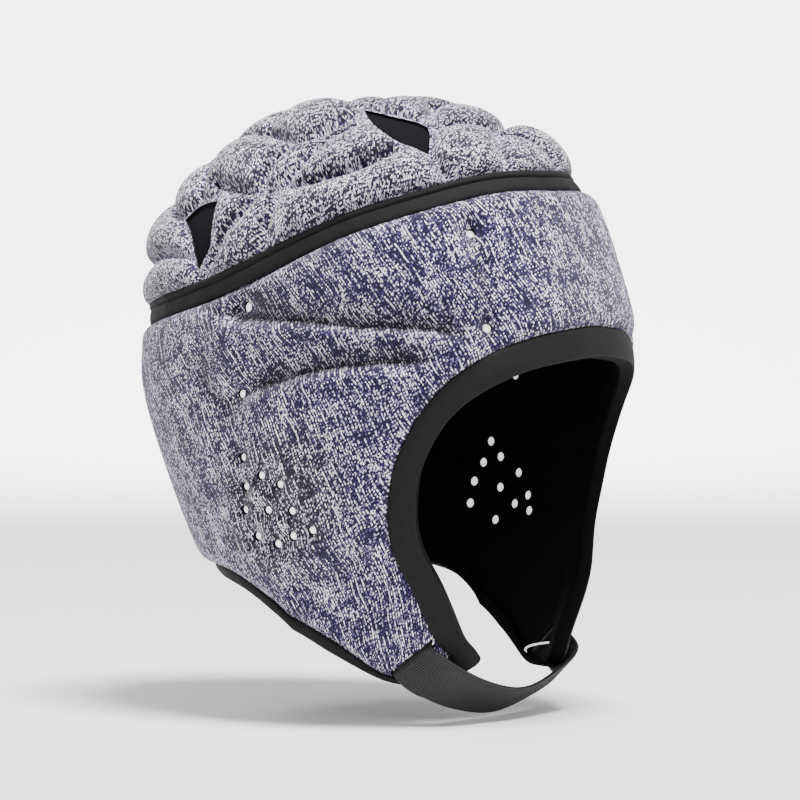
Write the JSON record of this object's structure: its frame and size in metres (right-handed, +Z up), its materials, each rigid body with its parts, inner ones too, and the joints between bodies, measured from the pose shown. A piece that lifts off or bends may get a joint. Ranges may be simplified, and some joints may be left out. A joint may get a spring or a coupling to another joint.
{
  "type": "padded head guard",
  "caption": "Soft padded rugby head guard: quilted crown with leaf-shaped vents, bound side panels with ear holes and cheek flaps, open at face and nape, chin strap hanging in a loop below.",
  "frame": {"origin": "inside top of the crown, where the wearer's head sits (mount head_seat)", "axes": "+Z up, -Y towards the forehead, +X towards the wearer's left"},
  "size_m": [0.1688, 0.2136, 0.2508],
  "materials": {
    "knit": "matte heather knit over foam",
    "lining": "matte",
    "binding": "matte folded tape",
    "webbing": "woven webbing",
    "mesh": "matte open mesh"
  },
  "bodies": {
    "root": {"crown_pad": "knit", "side_pad": "knit", "crown_lining": "lining", "side_lining": "lining", "crown_band": "binding", "face_binding": "binding", "nape_binding": "binding", "chin_strap": "webbing", "ear_mesh_left": "mesh", "hole_mesh_upper_back_left": "mesh", "hole_mesh_lower_back_left": "mesh", "hole_mesh_upper_front_left": "mesh", "hole_mesh_lower_front_left": "mesh", "ear_mesh_right": "mesh", "hole_mesh_upper_back_right": "mesh", "hole_mesh_lower_back_right": "mesh", "hole_mesh_upper_front_right": "mesh", "hole_mesh_lower_front_right": "mesh"}
  },
  "joints": []
}
